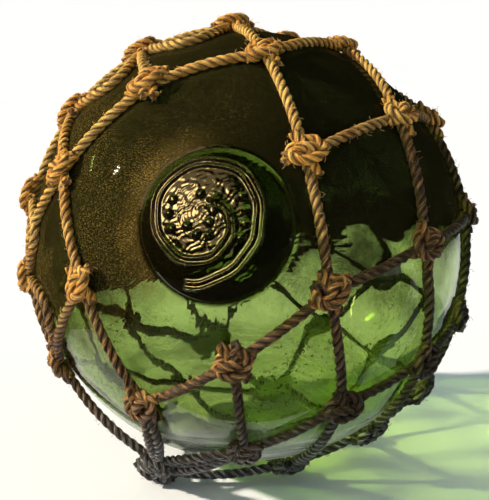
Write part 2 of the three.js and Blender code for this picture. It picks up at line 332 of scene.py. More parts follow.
# Stage: ways are a turn and a rise in degrees, and a ring of the bowl is a radius and a height
STAGE_ROUGHNESS = 0.9
FLOOR_REACH = 6
FLOOR_COLOUR = (0.80, 0.86, 0.96)
BOWL_SIDES = 64
BOWL_RINGS = ((1.075, 0.001), (2.6, 2.4))
BOWL_MIDDLE = (0.75, -0.1)
BOWL_COLOUR = (0.008, 0.006, 0.003)
CLOTH_LEFT, CLOTH_RIGHT = -1.2, 1.2
CLOTH_FRONT, CLOTH_BACK = -1.6, -0.13
CLOTH_HEIGHT = 0.002
CLOTH_COLOUR = (0.010, 0.009, 0.006)
GLOW_WAY = (-34, 27)
GLOW_DISTANCE = 0.75
GLOW_RADIUS = 0.46
GLOW_SIDES = 48
GLOW_COLOUR = (1.0, 0.70, 0.30, 1.0)
GLOW_LAMPS = (
    {"strength": 2.6, "from": 1.0, "to": 0.7},
    {"strength": 47.0, "from": 0.38, "to": 0.10},
)
SUN_WAY = (-88, 30.3)
SUN_ENERGY = 6.1
SUN_WIDTH = 3
SUN_COLOUR = (1.0, 0.87, 0.66)
SKY_COLOUR, SKY_STRENGTH = (0.80, 0.88, 1.0, 1.0), 0.40
BACKDROP_COLOUR, BACKDROP_STRENGTH = (1.0, 1.0, 0.98, 1.0), 1.0


def direction(turn, rise):
    """A way out from the ball: its turn from the front to the right and its rise, in degrees."""
    a, b = math.radians(turn), math.radians(rise)
    return np.array([math.sin(a) * math.cos(b), -math.cos(a) * math.cos(b), math.sin(b)])


def unit(v):
    return v / np.linalg.norm(v, axis=-1, keepdims=True)


def axes_about(way):
    """The ways to the right and up, seen along a way towards the ball's middle."""
    right = unit(np.cross((0, 0, 1), way))
    return right, np.cross(way, right)


def new_mesh_object(name, vertices, edges, faces):
    mesh = bpy.data.meshes.new(name)
    mesh.from_pydata([tuple(v) for v in vertices], edges, faces)
    mesh.update()
    piece = bpy.data.objects.new(name, mesh)
    bpy.context.scene.collection.objects.link(piece)
    return piece


# Node trees, for shaders and geometry alike

class Value:
    """A node's output, so that maths on it can be written as an expression."""

    def __init__(self, nodes, socket):
        self.nodes = nodes
        self.socket = socket

    def __add__(self, other):
        return self.nodes.math("ADD", self, other)

    __radd__ = __add__

    def __mul__(self, other):
        return self.nodes.math("MULTIPLY", self, other)

    __rmul__ = __mul__

    def __sub__(self, other):
        return self.nodes.math("SUBTRACT", self, other)

    def __rsub__(self, other):
        return self.nodes.math("SUBTRACT", other, self)

    def __truediv__(self, other):
        return self.nodes.math("DIVIDE", self, other)

    def __rtruediv__(self, other):
        return self.nodes.math("DIVIDE", other, self)


class Nodes:
    """Adds nodes to one tree. Settings go on first, then the values or links of the sockets."""

    def __init__(self, tree):
        self.tree = tree

    def make(self, kind, settings=None, inputs=None):
        node = self.tree.nodes.new(kind)
        for name, value in (settings or {}).items():
            setattr(node, name, value)
        for key, value in (inputs or {}).items():
            if isinstance(value, Value):
                self.tree.links.new(value.socket, node.inputs[key])
            else:
                node.inputs[key].default_value = value
        return node

    def add(self, kind, settings=None, inputs=None, output=0):
        return Value(self, self.make(kind, settings, inputs).outputs[output])

    def math(self, operation, *values):
        return self.add("ShaderNodeMath", {"operation": operation}, dict(enumerate(values)))

    def vector(self, operation, first, second):
        return self.add("ShaderNodeVectorMath", {"operation": operation}, {0: first, 1: second})

    def scaled(self, vector, scale):
        return self.add("ShaderNodeVectorMath", {"operation": "SCALE"}, {0: vector, "Scale": scale})

    def distance(self, first, second):
        return self.add("ShaderNodeVectorMath", {"operation": "DISTANCE"}, {0: first, 1: second}, "Value")

    # Helpers for shaders

    def place(self):
        return self.add("ShaderNodeTexCoord", None, None, "Object")

    def parts(self, vector):
        apart = self.make("ShaderNodeSeparateXYZ", None, {0: vector})
        return [Value(self, socket) for socket in apart.outputs]

    def attribute(self, name):
        return self.add("ShaderNodeAttribute", {"attribute_name": name}, None, "Fac")

    def noise(self, vector, scale, detail, roughness=0.5):
        values = {"Vector": vector, "Scale": scale, "Detail": detail, "Roughness": roughness}
        return self.add("ShaderNodeTexNoise", None, values)

    def stretched_noise(self, place, size, slant, detail, roughness):
        """A noise drawn out to other scales along each axis, and turned."""
        values = {"Vector": place, "Rotation": slant, "Scale": size}
        return self.noise(self.add("ShaderNodeMapping", None, values), 1.0, detail, roughness)

    def step(self, value, start, end):
        settings = {"interpolation_type": "SMOOTHSTEP"}
        return self.add("ShaderNodeMapRange", settings, {"Value": value, "From Min": start, "From Max": end})

    def mix(self, factor, first, second):
        """A mix of two colours, each a node's output or red, green and blue."""
        first, second = (value if isinstance(value, Value) else (*value, 1.0) for value in (first, second))
        return self.add("ShaderNodeMix", {"data_type": "RGBA"}, {0: factor, 6: first, 7: second}, 2)

    def blend(self, factor, first, second):
        return self.add("ShaderNodeMixShader", None, {0: factor, 1: first, 2: second})

    def surface(self, **values):
        """A Principled surface. Its sockets' names have underscores for spaces."""
        inputs = {name.replace("_", " "): value for name, value in values.items()}
        return self.add("ShaderNodeBsdfPrincipled", None, inputs)


def new_material(name):
    material = bpy.data.materials.new(name)
    material.use_nodes = True
    material.node_tree.nodes.clear()
    return material, Nodes(material.node_tree)


class GeometryTree:
    """A Geometry Nodes tree with named inputs, which turns one object's mesh into another mesh."""

    def __init__(self, name, sizes):
        self.group = bpy.data.node_groups.new(name, "GeometryNodeTree")
        self.group.interface.new_socket("Geometry", in_out="INPUT", socket_type="NodeSocketGeometry")
        self.group.interface.new_socket("Geometry", in_out="OUTPUT", socket_type="NodeSocketGeometry")
        for label, (kind, value) in sizes.items():
            socket = self.group.interface.new_socket(label, in_out="INPUT", socket_type=kind)
            if value is not None:
                socket.default_value = value
        self.nodes = Nodes(self.group)
        self.entry = self.nodes.make("NodeGroupInput")

    def input(self, label):
        return Value(self.nodes, self.entry.outputs[label])

    def store(self, geometry, name, value, kind="FLOAT"):
        """Keeps a value on each point under a name, for later nodes and the material."""
        settings = {"data_type": kind, "domain": "POINT"}
        values = {0: geometry, "Name": name, "Value": value}
        return self.nodes.add("GeometryNodeStoreNamedAttribute", settings, values)

    def finish(self, geometry, material):
        """Ends the tree: real geometry, its material, and the output."""
        real = self.nodes.add("GeometryNodeRealizeInstances", None, {0: geometry})
        dressed = self.nodes.add("GeometryNodeSetMaterial", None, {"Geometry": real, "Material": material})
        self.nodes.make("NodeGroupOutput", None, {0: dressed})

    def bake(self, source, name, values):
        """Runs the tree on an object and returns its result as a plain mesh object."""
        modifier = source.modifiers.new(name, "NODES")
        modifier.node_group = self.group
        for item in self.group.interface.items_tree:
            if item.in_out == "INPUT" and item.name in values:
                modifier[item.identifier] = values[item.name]
        seen = source.evaluated_get(bpy.context.evaluated_depsgraph_get())
        mesh = bpy.data.meshes.new_from_object(seen)
        source.modifiers.remove(modifier)
        mesh.name = name
        piece = bpy.data.objects.new(name, mesh)
        bpy.context.scene.collection.objects.link(piece)
        return piece


# Camera

def add_camera():
    data = bpy.data.cameras.new("camera")
    data.sensor_fit = "VERTICAL"
    data.lens = data.sensor_height * FOCAL_PIXELS / PHOTO_HEIGHT
    data.shift_x = (PHOTO_WIDTH / 2 - BALL_PIXEL[0]) / PHOTO_HEIGHT
    data.shift_y = (BALL_PIXEL[1] - PHOTO_HEIGHT / 2) / PHOTO_HEIGHT
    camera = bpy.data.objects.new("camera", data)
    place = CENTRE + CAMERA_DISTANCE * direction(CAMERA_TURN, CAMERA_RISE)
    camera.location = place
    camera.rotation_euler = Vector(CENTRE - place).to_track_quat("-Z", "Y").to_euler()
    bpy.context.scene.collection.objects.link(camera)
    bpy.context.scene.camera = camera


# Net graph: the knots of the front lattice, then rings of knots that close it behind

def net_graph():
    places, lifts, pinned, beside, cords = [], [], [], [], []
    at = {}

    def add_knot(place, lift, is_pinned):
        places.append(place)
        lifts.append(lift)
        pinned.append(is_pinned)
        beside.append([])
        return len(places) - 1

    def join_row(a, b):
        cords.append((a, b))
        beside[a].append(b)
        beside[b].append(a)

    for r, row in enumerate(LATTICE):
        for c, cell in enumerate(row):
            if cell is None:
                continue
            turn, rise, lift = cell
            at[r, c] = add_knot(direction(turn, rise), lift / MILLIMETRES, True)
            if (r, c - 1) in at:
                join_row(at[r, c - 1], at[r, c])
            if (r - 1, c) in at:
                cords.append((at[r - 1, c], at[r, c]))
    cords.append(tuple(at[cell] for cell in DIAGONAL_CORD))

    ring = [at[cell] for cell in RIM]
    for _ in range(RINGS_BEHIND):
        is_open = [sum(knot in cord for cord in cords) < CORDS_AT_KNOT for knot in ring]
        behind = []
        for i, knot in enumerate(ring):
            if not is_open[i]:
                continue
            if i == 0 or is_open[i - 1]:
                place = unit(places[knot] - STEP_BEHIND * direction(SEAL_TURN, SEAL_RISE))
                is_foot = knot == at[FOOT_KNOT_PARENT]
                behind.append(add_knot(direction(0, FOOT_RISE) if is_foot else place, 0.0, is_foot))
            cords.append((knot, behind[-1]))
        for i, knot in enumerate(behind):
            join_row(knot, behind[(i + 1) % len(behind)])
        ring = behind
    return {"places": np.array(places), "lifts": lifts, "pinned": np.array(pinned),
            "beside": beside, "cords": cords, "at": at}


def relax(net):
    """Lets the knots behind slide until the cords are near one length and no two knots crowd."""
    reach = 2 * math.sin(math.radians(MESH_ANGLE / 2))
    places = net["places"]
    first, second = np.array(net["cords"]).T
    pair_a, pair_b = np.triu_indices(len(places), 1)
    free = ~net["pinned"]
    for _ in range(RELAX_ROUNDS):
        push = np.zeros_like(places)
        for a, b, share in ((first, second, 1.0), (pair_a, pair_b, CROWD_SHARE)):
            way = places[b] - places[a]
            span = np.linalg.norm(way, axis=1, keepdims=True)
            crowded = (span <= reach) | (share == 1.0)
            way = way * share * RELAX_GIVE * (1 - reach / span) * crowded
            np.add.at(push, a, way)
            np.subtract.at(push, b, way)
        places[free] = unit(places[free] + push[free])


def knot_axes(net, knot):
    """A knot's way along its row, its way across, and its way out from the glass."""
    out = net["places"][knot]
    row = net["beside"][knot]
    end = net["places"][row[0]]
    start = net["places"][row[1]] if len(row) > 1 else out
    along = end - start
    along = unit(along - out * np.dot(along, out))
    if np.dot(along, ROW_WAY) < 0:
        along = -along
    return along, np.cross(out, along), out


# Twine paths, as lists of points

def cord_path(net, a, b, aside=0.0):
    """A cord's middle line from knot to knot, bent round the ball and, for a second cord, aside from it."""
    start, end = net["places"][a], net["places"][b]
    angle = math.acos(np.clip(np.dot(start, end), -1, 1))
    points = []
    for t in np.linspace(0, 1, CORD_SAMPLES):
        near_knot = ENTRY_SHARE * (2 * t - 1) ** ENTRY_POWER
        lift = (1 - t) * net["lifts"][a] + t * net["lifts"][b]
        height = PRESSED_RADIUS + (KNOT_RADIUS - PRESSED_RADIUS) * near_knot + lift
        way = unit(start * math.sin((1 - t) * angle) + end * math.sin(t * angle))
        across = unit(np.cross(start, end)) * aside * math.sin(math.pi * t)
        points.append(CENTRE + unit(way + across / BALL_RADIUS) * height)
    return points


def second_cords(net):
    """The cords that the net has twice between two knots. The second one lies aside, towards the seal."""
    seal = direction(SEAL_TURN, SEAL_RISE)
    paths = []
    for cord in SECOND_CORDS:
        a, b = net["at"][cord["from"]], net["at"][cord["to"]]
        towards = np.dot(np.cross(net["places"][a], net["places"][b]), seal)
        paths.append(cord_path(net, a, b, math.copysign(cord["aside"], towards)))
    return paths


def knot_paths(net, knot, rng):
    """A knot's turns of twine. Each knot differs a little in size, hand and run."""
    along, across, out = knot_axes(net, knot)
    flip = 1 if rng.random() < 0.5 else -1
    size = rng.uniform(*KNOT_SIZES) / MILLIMETRES
    base = BALL_RADIUS + CLEARANCE + net["lifts"][knot]
    paths = []
    for turns in (BIGHT, CROSSING, UPRIGHT):
        points = []
        for turn in turns:
            x, y, z = (value + rng.uniform(-TURN_JITTER, TURN_JITTER) for value in turn)
            spot = out * (base + z * size) + along * (flip * x * size) + across * (y * size)
            points.append(CENTRE + spot)
        paths.append(points)
    return paths


def tail_paths(net, rng):
    """The cut ends of twine that stand out of some knots."""
    paths = []
    for tail in TAILS:
        knot = net["at"][tail["knot"]]
        out = net["places"][knot]
        east, north = axes_about(out)
        way = unit(east * tail["right"] + north * tail["up"])
        base = CENTRE + out * (KNOT_RADIUS + net["lifts"][knot])
        reach = TAIL_ROOT + tail["length"]
        bend = np.cross(way, out) * rng.uniform(-TAIL_BEND, TAIL_BEND)
        paths.append([base + way * reach * t + bend * reach * t * t for t in TAIL_STATIONS])
    return paths


def paths_object(name, paths):
    """The paths as edges of one object, kept off the floor."""
    vertices = np.array([point for path in paths for point in path])
    vertices[:, 2] = np.maximum(vertices[:, 2], LOWEST_MIDDLE)
    edges, first = [], 0
    for path in paths:
        edges += [(first + i, first + i + 1) for i in range(len(path) - 1)]
        first += len(path)
    return new_mesh_object(name, vertices, edges, [])


# Laid twine: strands that wind round each path

def twine_guide(tree):
    """Smooth curves along the paths in even steps, which know their own line and the run along it."""
    nodes = tree.nodes
    curve = nodes.add("GeometryNodeMeshToCurve", None, {"Mesh": tree.input("Geometry")})
    curve = nodes.add("GeometryNodeCurveSplineType", {"spline_type": "CATMULL_ROM"}, {"Curve": curve})
    curve = nodes.add("GeometryNodeSetSplineResolution", None, {0: curve, "Resolution": CURVE_STEPS})
    settings = {"mode": "LENGTH"}
    curve = nodes.add("GeometryNodeResampleCurve", settings, {"Curve": curve, "Length": tree.input("Step")})
    position = nodes.add("GeometryNodeInputPosition")
    curve = tree.store(curve, "axis", position, "FLOAT_VECTOR")
    run = nodes.add("GeometryNodeSplineParameter", None, None, "Length")
    return tree.store(curve, "run", run), run, position


def strand_profile(tree):
    """A strand's round outline, which knows the share of the way around it."""
    nodes = tree.nodes
    ring = nodes.add("GeometryNodeCurvePrimitiveCircle", None,
                     {"Resolution": tree.input("Sides"), "Radius": tree.input("Strand Radius")})
    share = nodes.add("GeometryNodeSplineParameter", None, None, "Factor")
    return tree.store(ring, "around", share)


def twine_tree():
    sizes = {
        "Strand Radius": ("NodeSocketFloat", STRAND_RADIUS),
        "Lay Radius": ("NodeSocketFloat", LAY_RADIUS),
        "Lay Length": ("NodeSocketFloat", LAY_LENGTH),
        "Step": ("NodeSocketFloat", TWINE_STEP),
        "Sides": ("NodeSocketInt", STRAND_SIDES),
        "Material": ("NodeSocketMaterial", None),
    }
    tree = GeometryTree("laid twine", sizes)
    nodes = tree.nodes
    curve, run, position = twine_guide(tree)
    ring = strand_profile(tree)
    normal = nodes.add("GeometryNodeInputNormal")
    tangent = nodes.add("GeometryNodeInputTangent")
    side = nodes.vector("CROSS_PRODUCT", tangent, normal)
    joined = nodes.make("GeometryNodeJoinGeometry")
    for strand in range(STRANDS):
        turn = run / tree.input("Lay Length") * math.tau + strand * math.tau / STRANDS
        out = nodes.scaled(normal, nodes.math("COSINE", turn))
        offset = nodes.vector("ADD", out, nodes.scaled(side, nodes.math("SINE", turn)))
        offset = nodes.scaled(offset, tree.input("Lay Radius"))
        wound = nodes.add("GeometryNodeSetPosition", None, {"Geometry": curve, "Offset": offset})
        body = nodes.add("GeometryNodeCurveToMesh", None,
                         {"Curve": wound, "Profile Curve": ring, "Fill Caps": True})
        nodes.tree.links.new(body.socket, joined.inputs[0])
    whole = Value(nodes, joined.outputs[0])
    settings = {"data_type": "FLOAT_VECTOR"}
    axis = nodes.add("GeometryNodeInputNamedAttribute", settings, {"Name": "axis"})
    depth = nodes.distance(position, axis)
    whole = tree.store(whole, "crest", depth / (STRAND_RADIUS + LAY_RADIUS))
    whole = nodes.add("GeometryNodeSetShadeSmooth", None, {0: whole})
    tree.finish(whole, tree.input("Material"))
    return tree


# Loose fibres that stand up from the twine

def one_fibre(tree):
    """A bent fibre of length 1 that thins to its tip."""
    nodes = tree.nodes
    hair = nodes.add("GeometryNodeCurvePrimitiveBezierSegment", None,
                     {"Resolution": FIBRE_STEPS, "Start": FIBRE_START, "Start Handle": FIBRE_START_HANDLE,
                      "End Handle": FIBRE_END_HANDLE, "End": FIBRE_END})
    share = nodes.add("GeometryNodeSplineParameter", None, None, "Factor")
    hair = nodes.add("GeometryNodeSetCurveRadius", None, {"Curve": hair, "Radius": FIBRE_ROOT - share})
    ring = nodes.add("GeometryNodeCurvePrimitiveCircle", None,
                     {"Resolution": FIBRE_SIDES, "Radius": tree.input("Thickness") / tree.input("Length")})
    return nodes.add("GeometryNodeCurveToMesh", None, {"Curve": hair, "Profile Curve": ring})


def fibre_tree():
    sizes = {
        "Density": ("NodeSocketFloat", FIBRE_DENSITY),
        "Length": ("NodeSocketFloat", FIBRE_LENGTH),
        "Thickness": ("NodeSocketFloat", FIBRE_THICKNESS),
        "Seed": ("NodeSocketInt", FIBRE_SEED),
        "Material": ("NodeSocketMaterial", None),
    }
    tree = GeometryTree("loose fibres", sizes)
    nodes = tree.nodes
    spread = nodes.make("GeometryNodeDistributePointsOnFaces", {"distribute_method": "RANDOM"},
                        {"Mesh": tree.input("Geometry"), "Density": tree.input("Density"),
                         "Seed": tree.input("Seed")})
    points = Value(nodes, spread.outputs["Points"])
    turned = Value(nodes, spread.outputs["Rotation"])
    spin = nodes.add("FunctionNodeRandomValue", {"data_type": "FLOAT_VECTOR"},
                     {0: FIBRE_LEAST_TURN, 1: FIBRE_MOST_TURN, "Seed": tree.input("Seed")})
    turned = nodes.add("FunctionNodeRotateRotation", {"rotation_space": "LOCAL"}, {0: turned, 1: spin})
    least, most = FIBRE_SIZES
    size = nodes.add("FunctionNodeRandomValue", {"data_type": "FLOAT"},
                     {2: least, 3: most, "Seed": tree.input("Seed")}, 1)
    hairs = nodes.add("GeometryNodeInstanceOnPoints", None,
                      {"Points": points, "Instance": one_fibre(tree), "Rotation": turned,
                       "Scale": size * tree.input("Length")})
    tree.finish(hairs, tree.input("Material"))
    return tree


# Rope materials

def patches_and_painted_light(nodes, place, shift=0.0):
    """Random patches, and masks of painted light: painted golden sunlight up on the left and front, painted
    shade towards the right and back, and painted bluish shade low down.
    """
    x, y, z = nodes.parts(place)
    patch = nodes.noise(place, PATCH_SCALE, PATCH_DETAIL)
    lit = z - x * PAINTED_SUN_RIGHT - y * PAINTED_SUN_BACK + (patch - 0.5) * PAINTED_SUN_PATCH + shift
    painted_sun = nodes.step(lit, *PAINTED_SUN)
    out_of_shade = nodes.step(lit - x * PAINTED_SHADE_RIGHT, *OUT_OF_SHADE)
    low_shade = nodes.step(z + (patch - 0.5) * LOW_SHADE_PATCH, *LOW_SHADE)
    return patch, painted_sun, out_of_shade, low_shade


def strand_streaks(nodes, crest):
    """A noise drawn out along the fibres. They lie along the twine, so on a strand they run aslant."""
    run = nodes.attribute("run")
    around = nodes.attribute("around")
    slant = around * STREAKS_AROUND - run * (STREAKS_AROUND / LAY_LENGTH)
    values = {0: slant, 1: run * STREAKS_ALONG, 2: crest * STREAKS_DEEP}
    return nodes.noise(nodes.add("ShaderNodeCombineXYZ", None, values), STREAK_SCALE, *STREAK_GRAIN)


def rope_colour(nodes, masks, straw):
    """The rope's colour with painted light in it: painted grey shade going to brown out of it, orange to
    straw as painted sunlight, and painted bluish shade low down.
    """
    patch, painted_sun, out_of_shade, low_shade = masks
    dark = nodes.mix(out_of_shade, ROPE_SHADE_GREY, nodes.mix(patch, *ROPE_BROWNS))
    pale = nodes.mix(nodes.step(patch, *straw), *ROPE_GOLDS)
    colour = nodes.mix(painted_sun, dark, pale)
    return nodes.mix(low_shade * LOW_SHADE_COVER, colour, ROPE_LOW_SHADE)


def crest_colour(nodes, masks):
    """The colour of the light fibres and of the painted highlight on the strands' crests, with painted
    sunlight and shade in it.
    """
    _, painted_sun, out_of_shade, low_shade = masks
    dull = nodes.mix(low_shade, nodes.mix(out_of_shade, CREST_SHADE_GREY, CREST_BROWN), CREST_LOW_SHADE)
    return nodes.mix(painted_sun, dull, CREST_STRAW)


def rope_material(name, finish):
    """Laid twine with light and dark fibres, a painted highlight on the strands' crests, and painted shade in
    the grooves between the strands.
    """
    material, nodes = new_material(name)
    place = nodes.place()
    crest = nodes.attribute("crest")
    masks = patches_and_painted_light(nodes, place, finish["shift"])
    painted_sun = masks[1]
    streak = strand_streaks(nodes, crest)
    # Light fibres, and more of them on the strands' outer crests: a painted highlight
    light = nodes.step(streak, *LIGHT_STREAKS) * (OFF_CREST_HIGHLIGHT + (1 - OFF_CREST_HIGHLIGHT) * nodes.step(crest, *CREST_HIGHLIGHT))
    shade = nodes.step(streak, *DARK_STREAKS)
    # Painted shade in the grooves between the strands
    groove_shade = nodes.step(crest, *GROOVE_SHADE)
    colour = rope_colour(nodes, masks, finish["straw"])
    colour = nodes.mix(light * STREAK_COVER, colour, crest_colour(nodes, masks))
    # The dark fibres and the groove shade are painted lighter where the painted sunlight falls
    colour = nodes.mix(shade * STREAK_COVER, colour, nodes.mix(painted_sun, *SHADE_COLOURS))
    colour = nodes.mix(groove_shade * GROOVE_SHADE_COVER, colour, nodes.mix(painted_sun, *GROOVE_SHADE_COLOURS))
    relief = streak + nodes.noise(place, FINE_SCALE, *FINE_GRAIN) * FINE_SHARE
    bump = nodes.add("ShaderNodeBump", None, {"Strength": 1.0, "Distance": ROPE_RELIEF, "Height": relief})
    surface = nodes.surface(Base_Color=colour, Roughness=ROPE_ROUGHNESS, Normal=bump,
                            Specular_IOR_Level=ROPE_GLOSS)
    nodes.make("ShaderNodeOutputMaterial", None, {"Surface": surface})
    return material


def fibre_material():
    material, nodes = new_material("fibre")
    patch, painted_sun, out_of_shade, low_shade = patches_and_painted_light(nodes, nodes.place())
    # The fibres carry the same painted sunlight and shade as the rope
    colour = nodes.mix(out_of_shade, FIBRE_SHADE_GREY, nodes.mix(patch, *FIBRE_BROWNS))
    colour = nodes.mix(painted_sun, colour, FIBRE_STRAW)
    colour = nodes.mix(low_shade * FIBRE_LOW_SHADE_COVER, colour, FIBRE_LOW_SHADE)
    surface = nodes.surface(Base_Color=colour, Roughness=FIBRE_ROUGHNESS)
    nodes.make("ShaderNodeOutputMaterial", None, {"Surface": surface})
    return material


# Glass material

def glass_places(nodes):
    """A point's place on the glass, how cloudy the dust and painted shade are there, and masks of the outer
    skin and seal.
    """
    place = nodes.place()
    x, y, z = nodes.parts(place)
    seal_middle = CENTRE + BALL_RADIUS * direction(SEAL_TURN, SEAL_RISE)
    off_seal = nodes.distance(place, tuple(seal_middle))
    return {
        "place": place, "x": x, "y": y, "z": z,
        "cloud": nodes.noise(place, CLOUD_SCALE, *CLOUD_GRAIN),
        "outside": nodes.step(nodes.distance(place, tuple(CENTRE)), *OUTER_SKIN),
        "off_seal": off_seal,
        "in_seal": nodes.step(off_seal, *SEAL_EDGE),
    }


def chill_marks(nodes, at):
    """Faint combed waves, in patches below the seal."""
    chill = nodes.stretched_noise(at["place"], CHILL_SIZE, CHILL_SLANT, *CHILL_GRAIN)
    chill = chill * nodes.step(nodes.noise(at["place"], CHILL_SCALE, CHILL_DETAIL), *CHILL_PATCHES)
    chill = chill * nodes.step(at["z"], *CHILL_HEIGHT)
    return nodes.add("ShaderNodeBump", None, {"Strength": 1.0, "Distance": CHILL_DEPTH, "Height": chill})


def clear_glass(nodes, at):
    """The bare glass. The seal's thick button is darker for its thickness and painted with shade besides:
    nearly black on the left and green on the right.
    """
    side = at["x"] + (at["cloud"] - 0.5) * SEAL_CLOUD
    # Painted shade on the button, darkest on the left
    thick_glass_and_shade = nodes.mix(nodes.step(side, *SEAL_SIDES), *SEAL_GLASS_AND_SHADE_COLOURS)
    colour = nodes.mix(at["in_seal"] * at["outside"], GLASS_CLEAR, thick_glass_and_shade)
    return nodes.surface(Base_Color=colour, Roughness=GLASS_ROUGHNESS, IOR=GLASS_BEND,
                         Transmission_Weight=1.0, Normal=chill_marks(nodes, at))


def film_cover(nodes, at, grit):
    """How far the film hides the glass: a film of dust and painted shade on the upper part, dust specks
    elsewhere, and little on the seal.
    """
    height = at["z"] - at["x"] * FILM_RIGHT + (at["cloud"] - 0.5) * FILM_CLOUD + (grit - 0.5) * FILM_GRIT
    thickness = FILM_THIN + FILM_MORE * nodes.step(at["cloud"], *FILM_CLOUDS)
    film = at["outside"] * nodes.step(height, *FILM_EDGE) * thickness
    specks = nodes.step(nodes.noise(at["place"], SPECK_SCALE, *SPECK_GRAIN), *SPECKS)
    specks = specks * nodes.step(at["cloud"], *SPECK_CLOUDS)
    film = nodes.math("MAXIMUM", film, specks * at["outside"] * SPECK_COVER)
    return film * (1.0 - at["in_seal"] * FILM_ON_SEAL)


def film_surface(nodes, at, grit):
    """Dark dust with painted shade in it, grit painted golden as sunlight on the left, and a painted golden
    sheen in a halo on the left of the seal.
    """
    # Painted sunlight: grit is painted golden towards the sunny left
    sunny = at["x"] + at["y"] * SUNNY_BACK + (at["cloud"] - 0.5) * SUNNY_CLOUD
    thickness = GRIT_THIN + (1 - GRIT_THIN) * nodes.step(at["cloud"], *GRIT_CLOUDS)
    sunlit_grit = nodes.step(grit, *GRIT_SPOTS) * nodes.step(sunny, *SUNNY) * thickness
    # Painted sheen: a golden halo on the left of the seal
    sheen_halo = nodes.step(at["off_seal"], *SHEEN_HALO) * nodes.step(at["x"], *SHEEN_HALO_SIDE)
    colour = nodes.mix(at["cloud"], *FILM_DUST_AND_SHADE_COLOURS)
    colour = nodes.mix(sunlit_grit * SUNLIT_GRIT_COVER, colour, SUNLIT_GRIT_COLOUR)
    colour = nodes.mix(sheen_halo * (SHEEN_HALO_DUST + SHEEN_HALO_GRIT * sunlit_grit), colour, SHEEN_HALO_COLOUR)
    return nodes.surface(Base_Color=colour, Roughness=FILM_ROUGHNESS, Specular_IOR_Level=0.0)


def with_painted_glare(nodes, at, glass):
    """Adds a pale, streaky painted reflection of the floor low down on the outside."""
    # A painted reflection of the pale floor, as a pale streaky layer
    glare = nodes.surface(Base_Color=GLARE_COLOUR, Roughness=GLARE_ROUGHNESS, Specular_IOR_Level=GLARE_GLOSS)
    streaks = nodes.stretched_noise(at["place"], GLARE_SIZE, GLARE_SLANT, *GLARE_GRAIN)
    streaks = nodes.step(streaks, *GLARE_STREAKS)
    cover = at["outside"] * nodes.step(at["z"], *GLARE_HEIGHT) * (GLARE_THIN + GLARE_MORE * streaks)
    return nodes.blend(cover, glass, glare)


def glass_material():
    """Green glass that lamps shine through, with dust, painted shade, painted sunlight and a painted
    reflection on the outside. Its green is absorbed in the wall.
    """
    material, nodes = new_material("glass")
    at = glass_places(nodes)
    grit = nodes.stretched_noise(at["place"], GRIT_SIZE, GRIT_SLANT, *GRIT_GRAIN)
    glass = nodes.blend(film_cover(nodes, at, grit), clear_glass(nodes, at), film_surface(nodes, at, grit))
    glass = with_painted_glare(nodes, at, glass)
    is_shadow = nodes.add("ShaderNodeLightPath", None, None, "Is Shadow Ray")
    through = nodes.add("ShaderNodeBsdfTransparent", None, {"Color": GLASS_SHADOW})
    glass = nodes.blend(is_shadow, glass, through)
    tint = nodes.add("ShaderNodeVolumeAbsorption", None, {"Color": WALL_COLOUR, "Density": WALL_DENSITY})
    nodes.make("ShaderNodeOutputMaterial", None, {"Surface": glass, "Volume": tint})
    return material


# Glass ball: an outer skin with the seal's button and stamp, and the inner skin of the hollow

def stamp_points(turns, distances):
    """Ways from the ball's middle to points of the stamp, given in polar terms about the stamp's middle."""
    axis = direction(STAMP_TURN, STAMP_RISE)
    right, up = axes_about(axis)
    a = np.radians(turns)[:, None]
    reach = (np.asarray(distances) / BALL_RADIUS)[:, None]
    return axis * np.cos(reach) + np.sin(reach) * (right * np.cos(a) + up * np.sin(a))


def smooth_between(stations, count):
    """Catmull-Rom points through stations of a turn and a distance."""
    s = np.array([stations[0], *stations, stations[-1]], dtype=float)
    points = []
    for i in range(1, len(s) - 2):
        t = np.linspace(0, 1, count, endpoint=False)[:, None]
        a, b, c, d = s[i - 1], s[i], s[i + 1], s[i + 2]
        points.append(0.5 * (2 * b + (c - a) * t + (2 * a - 5 * b + 4 * c - d) * t ** 2
                             + (3 * b - a - 3 * c + d) * t ** 3))
    return np.vstack([*points, s[-1:]])


def nearest(ways, marks):
    """The distance over the ball from each way to the nearest of the marks."""
    best = np.full(len(ways), -1.0)
    for mark in marks:
        best = np.maximum(best, ways @ mark)
    return np.arccos(np.clip(best, -1, 1)) * BALL_RADIUS


def button_rise(ways):
    """The height of the seal's button, flat on top and steep at its edge."""
    angle = np.arccos(np.clip(ways @ direction(SEAL_TURN, SEAL_RISE), -1, 1))
    share = np.minimum(angle / math.asin(BUTTON_RADIUS / BALL_RADIUS), 1)
    return BUTTON_HEIGHT * np.sqrt(1 - share ** BUTTON_POWER)


def ridge_rise(ways):
    """The double ridge of the swirl."""
    spiral = smooth_between(SPIRAL_STATIONS, SPIRAL_STEPS)
    run = np.linspace(0, 1, len(spiral))
    long_wave, short_wave = SPIRAL_WAVES
    spiral[:, 1] += SPIRAL_WAVER * np.sin(run * long_wave) * np.sin(run * short_wave)
    outer = nearest(ways, stamp_points(spiral[:, 0], spiral[:, 1]))
    inner = nearest(ways, stamp_points(spiral[:, 0], spiral[:, 1] - RIDGE_GAP))
    rise = RIDGE_HEIGHT * np.exp(-(outer / RIDGE_WIDTH) ** 2)
    return rise + INNER_RIDGE_SHARE * RIDGE_HEIGHT * np.exp(-(inner / RIDGE_WIDTH) ** 2)


def bead_rise(ways):
    """The round beads in rows about the stamp's middle."""
    beads = []
    for row in BEAD_ROWS:
        turns = np.linspace(row["start"], row["end"], row["count"])
        beads.append(stamp_points(turns, np.full(row["count"], row["radius"])))
    off_bead = nearest(ways, np.vstack(beads))
    return np.sqrt(np.maximum(BEAD_RADIUS ** 2 - off_bead ** 2, 0)) * BEAD_SHARE


